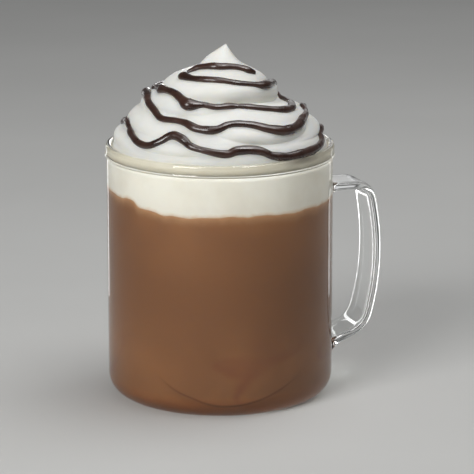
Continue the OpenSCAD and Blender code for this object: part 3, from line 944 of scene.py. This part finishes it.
modifier = sauce.modifiers.new("sauce", "NODES")
modifier.node_group = tree
for item in tree.interface.items_tree:
    if item.name in SAUCE_INPUTS:
        modifier[item.identifier] = SAUCE_INPUTS[item.name][1]
bake_modifiers(sauce)
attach(sauce, "root")

# ---------------------------------------------------------------------------------------------
# TABLE, LIGHT AND CAMERA
# A plain pale table top in a small studio. A softbox stands high to the left, another hangs over
# the mug, and narrow lights on the table behind the mug draw the bright lines along its glass
# edges. The camera looks down a little, with the handle to its right.
# ---------------------------------------------------------------------------------------------
TABLE_REACH = 6.0
TABLE_PALE = (0.61, 0.61, 0.595, 1)
TABLE_PALER = (0.64, 0.64, 0.625, 1)
WORLD_COLOUR = (0.97, 0.98, 1.0, 1)
WORLD_STRENGTH = 0.11
# The camera's direction round the mug, its tilt and its place: right, back and up from the mug's foot
VIEW_TURN = math.radians(-20.14)
PITCH = math.radians(13.846)
CAMERA_PLACE = (0.006474, -1.036252, 0.31553)
CAMERA_LENS = 212.27
table_corners = [(x * TABLE_REACH, y * TABLE_REACH, 0) for x, y in ((-1, -1), (1, -1), (1, 1), (-1, 1))]
table_mesh = bpy.data.meshes.new("table_top")
table_mesh.from_pydata(table_corners, [], [(0, 1, 2, 3)])
table = bpy.data.objects.new("table_top", table_mesh)
bpy.context.scene.collection.objects.link(table)
pale, nodes, links, shader = new_material("pale_table")
coords = nodes.new("ShaderNodeTexCoord").outputs["Object"]
cloudy = stretch(nodes, links, noise(nodes, links, coords, 6, 3, 0.5), 0.3, 0.7, 0, 1)
links.new(blend_colour(nodes, links, cloudy, TABLE_PALE, TABLE_PALER), shader.inputs["Base Color"])
shader.inputs["Roughness"].default_value = 0.6
shader.inputs["Specular IOR Level"].default_value = 0.0
table_mesh.materials.append(pale)

world = bpy.data.worlds.new("studio")
bpy.context.scene.world = world
world.use_nodes = True
world.node_tree.nodes["Background"].inputs["Color"].default_value = WORLD_COLOUR
world.node_tree.nodes["Background"].inputs["Strength"].default_value = WORLD_STRENGTH


def seen(right, back, up):
    """A place given from where the camera stands: to its right, away from it and up, in metres."""
    c, s = math.cos(VIEW_TURN), math.sin(VIEW_TURN)
    return (right * c - back * s, right * s + back * c, up)


def area_light(name, place, aim, size, power):
    """A rectangular light at a place given as in seen(), turned towards a point."""
    data = bpy.data.lights.new(name, "AREA")
    data.shape = "RECTANGLE"
    data.size, data.size_y = size
    data.energy = power
    lamp = bpy.data.objects.new(name, data)
    lamp.location = seen(*place)
    lamp.rotation_euler = (Vector(aim) - lamp.location).to_track_quat("-Z", "Y").to_euler()
    bpy.context.scene.collection.objects.link(lamp)
    return lamp


# Lights: name, place, point they are turned to, size and power in watts. The second group shows only
# as bright lines and edges in glass and gloss. The three strips stand upright close behind the mug
MIDDLE = (0, 0, 0.07)
SOFT_LIGHTS = (("key", (-0.56, -0.79, 0.62), MIDDLE, (0.45, 0.45), 6.6),
               ("overhead", (0.32, 0.06, 1.1), MIDDLE, (0.9, 0.9), 6.6))
GLOSS_LIGHTS = (("left_edge", (-0.09, 0.13, 0.07), MIDDLE, (0.012, 0.14), 0.008),
                ("back_edge", (-0.02, 0.14, 0.07), MIDDLE, (0.014, 0.14), 0.04),
                ("right_edge", (0.115, 0.12, 0.07), MIDDLE, (0.012, 0.14), 0.005),
                ("arm_light", (0.2, -0.2, 0.6), MIDDLE, (0.2, 0.2), 1.0),
                ("lip_light", (0, -0.35, 0.8), MIDDLE, (0.8, 0.04), 1.0),
                ("arm_back", (0.07, 0.5, 0.23), (0.05, 0, 0.08), (0.3, 0.22), 0.11))
for values in SOFT_LIGHTS:
    area_light(*values)
for values in GLOSS_LIGHTS:
    lamp = area_light(*values)
    lamp.visible_camera = False
    lamp.visible_diffuse = False

camera_data = bpy.data.cameras.new("camera")
camera_data.lens = CAMERA_LENS
camera_data.sensor_width = 36
camera_data.clip_start = 0.05
camera_data.clip_end = 50
camera = bpy.data.objects.new("camera", camera_data)
camera.location = seen(*CAMERA_PLACE)
camera.rotation_euler = (math.pi / 2 - PITCH, 0, VIEW_TURN)
bpy.context.scene.collection.objects.link(camera)
bpy.context.scene.camera = camera
bpy.context.scene.view_settings.view_transform = "Standard"
